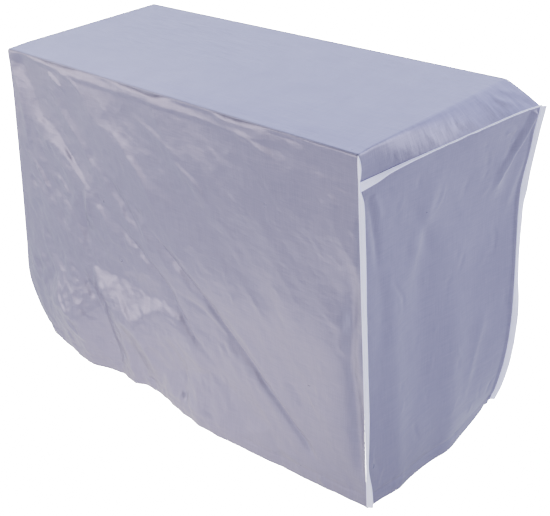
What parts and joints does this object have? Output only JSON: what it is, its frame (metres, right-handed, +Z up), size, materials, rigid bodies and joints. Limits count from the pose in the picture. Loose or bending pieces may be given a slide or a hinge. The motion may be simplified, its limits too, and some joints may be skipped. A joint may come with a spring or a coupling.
{
  "type": "fitted air conditioner cover",
  "caption": "Fitted outdoor cover of silvery coated cloth, box shaped, open below, with white bound end seams and a soft droop over one end.",
  "frame": {"origin": "middle of the underside of the level top, where the cover is held up", "axes": "+X to the right along the cover, +Y to the back, +Z up"},
  "size_m": [0.9513, 0.3587, 0.5962],
  "materials": {
    "silver_cloth": "satin silver coating on a fine plain weave",
    "white_tape": "matt woven binding tape"
  },
  "bodies": {
    "root": {"body_panel": "silver_cloth", "end_panel_right": "silver_cloth", "end_panel_left": "silver_cloth", "binding_right_front": "white_tape", "binding_right_top": "white_tape", "binding_right_back": "white_tape", "binding_left_front": "white_tape", "binding_left_top": "white_tape", "binding_left_back": "white_tape"}
  },
  "joints": []
}
